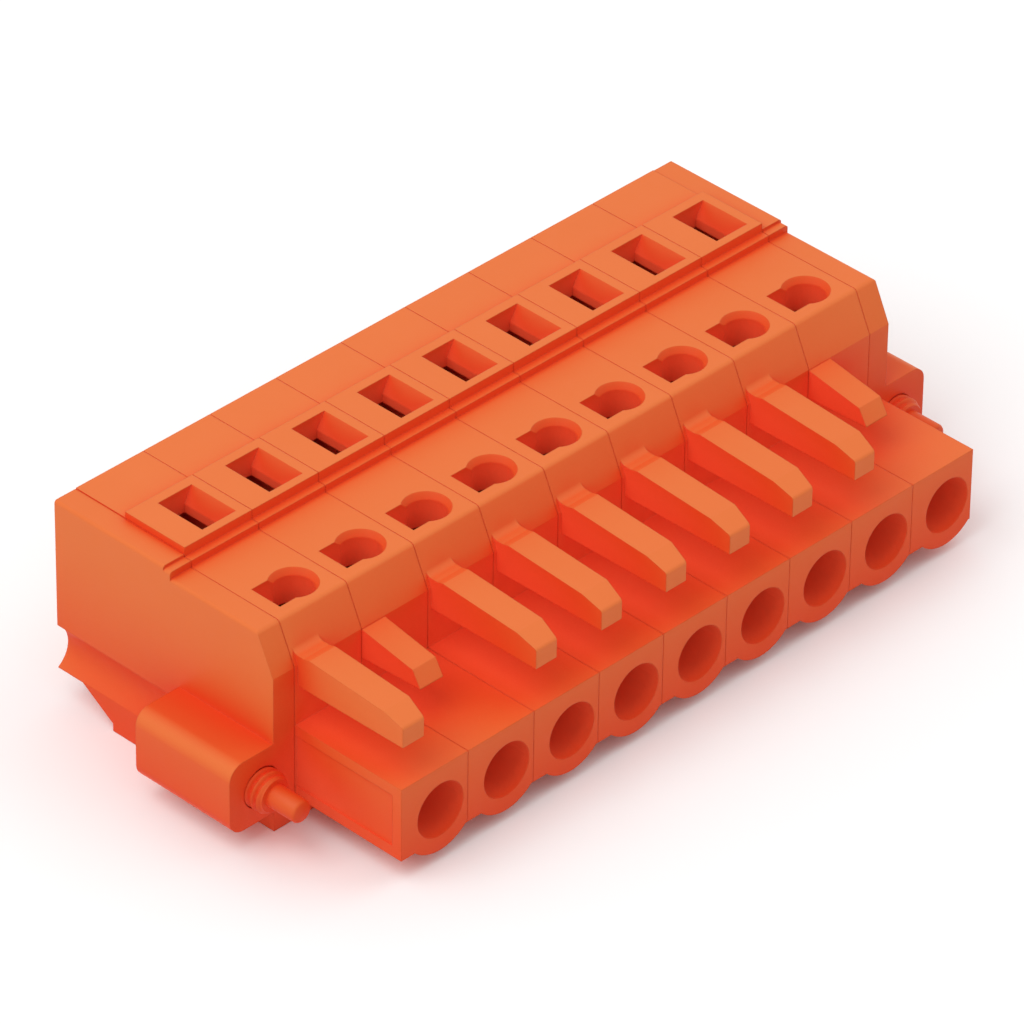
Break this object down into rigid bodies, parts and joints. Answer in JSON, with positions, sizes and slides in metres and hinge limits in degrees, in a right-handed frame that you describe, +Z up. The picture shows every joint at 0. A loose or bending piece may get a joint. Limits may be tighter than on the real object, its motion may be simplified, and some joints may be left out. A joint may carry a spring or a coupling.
{
  "type": "pluggable terminal block",
  "caption": "Orange plug-in terminal block with angled wire entries, cage clamp springs and a screw flange at each end.",
  "frame": {"origin": "bottom centre of the overall box, on the plane that the heel rests on", "axes": "+X along the row towards the pole furthest right, -Y the mating direction, +Z up towards the wire entries"},
  "size_m": [0.0556, 0.0254, 0.0138],
  "materials": {
    "moulding": "satin",
    "screw": "semi-gloss",
    "tinned_copper": "satin",
    "spring_steel": "satin"
  },
  "bodies": {
    "row": {"pole_housing_1": "moulding", "pole_housing_2": "moulding", "pole_housing_3": "moulding", "pole_housing_4": "moulding", "pole_housing_5": "moulding", "pole_housing_6": "moulding", "pole_housing_7": "moulding", "pole_housing_8": "moulding", "pole_housing_9": "moulding", "contact_1": "tinned_copper", "contact_2": "tinned_copper", "contact_3": "tinned_copper", "contact_4": "tinned_copper", "contact_5": "tinned_copper", "contact_6": "tinned_copper", "contact_7": "tinned_copper", "contact_8": "tinned_copper", "contact_9": "tinned_copper", "end_plate_left": "moulding", "end_plate_right": "moulding"},
    "left_screw": {"flange_screw_left": "screw"},
    "right_screw": {"flange_screw_right": "screw"},
    "cage_1": {"clamp_spring_1": "spring_steel"},
    "cage_2": {"clamp_spring_2": "spring_steel"},
    "cage_3": {"clamp_spring_3": "spring_steel"},
    "cage_4": {"clamp_spring_4": "spring_steel"},
    "cage_5": {"clamp_spring_5": "spring_steel"},
    "cage_6": {"clamp_spring_6": "spring_steel"},
    "cage_7": {"clamp_spring_7": "spring_steel"},
    "cage_8": {"clamp_spring_8": "spring_steel"},
    "cage_9": {"clamp_spring_9": "spring_steel"}
  },
  "joints": [
    {"name": "left_screw_turn", "type": "hinge", "parent": "row", "child": "left_screw", "pos_m": [-0.0254, -0.0045, 0.00353], "axis": [0, 1, 0], "continuous": true},
    {"name": "right_screw_turn", "type": "hinge", "parent": "row", "child": "right_screw", "pos_m": [0.0254, -0.0045, 0.00353], "axis": [0, 1, 0], "continuous": true},
    {"name": "clamp_1_open", "type": "slide", "parent": "row", "child": "cage_1", "axis": [0, -1, 0], "range_m": [0, 0.002], "stiffness_N_per_m": 5000, "springref_m": -0.002},
    {"name": "clamp_2_open", "type": "slide", "parent": "row", "child": "cage_2", "axis": [0, -1, 0], "range_m": [0, 0.002], "stiffness_N_per_m": 5000, "springref_m": -0.002},
    {"name": "clamp_3_open", "type": "slide", "parent": "row", "child": "cage_3", "axis": [0, -1, 0], "range_m": [0, 0.002], "stiffness_N_per_m": 5000, "springref_m": -0.002},
    {"name": "clamp_4_open", "type": "slide", "parent": "row", "child": "cage_4", "axis": [0, -1, 0], "range_m": [0, 0.002], "stiffness_N_per_m": 5000, "springref_m": -0.002},
    {"name": "clamp_5_open", "type": "slide", "parent": "row", "child": "cage_5", "axis": [0, -1, 0], "range_m": [0, 0.002], "stiffness_N_per_m": 5000, "springref_m": -0.002},
    {"name": "clamp_6_open", "type": "slide", "parent": "row", "child": "cage_6", "axis": [0, -1, 0], "range_m": [0, 0.002], "stiffness_N_per_m": 5000, "springref_m": -0.002},
    {"name": "clamp_7_open", "type": "slide", "parent": "row", "child": "cage_7", "axis": [0, -1, 0], "range_m": [0, 0.002], "stiffness_N_per_m": 5000, "springref_m": -0.002},
    {"name": "clamp_8_open", "type": "slide", "parent": "row", "child": "cage_8", "axis": [0, -1, 0], "range_m": [0, 0.002], "stiffness_N_per_m": 5000, "springref_m": -0.002},
    {"name": "clamp_9_open", "type": "slide", "parent": "row", "child": "cage_9", "axis": [0, -1, 0], "range_m": [0, 0.002], "stiffness_N_per_m": 5000, "springref_m": -0.002}
  ]
}
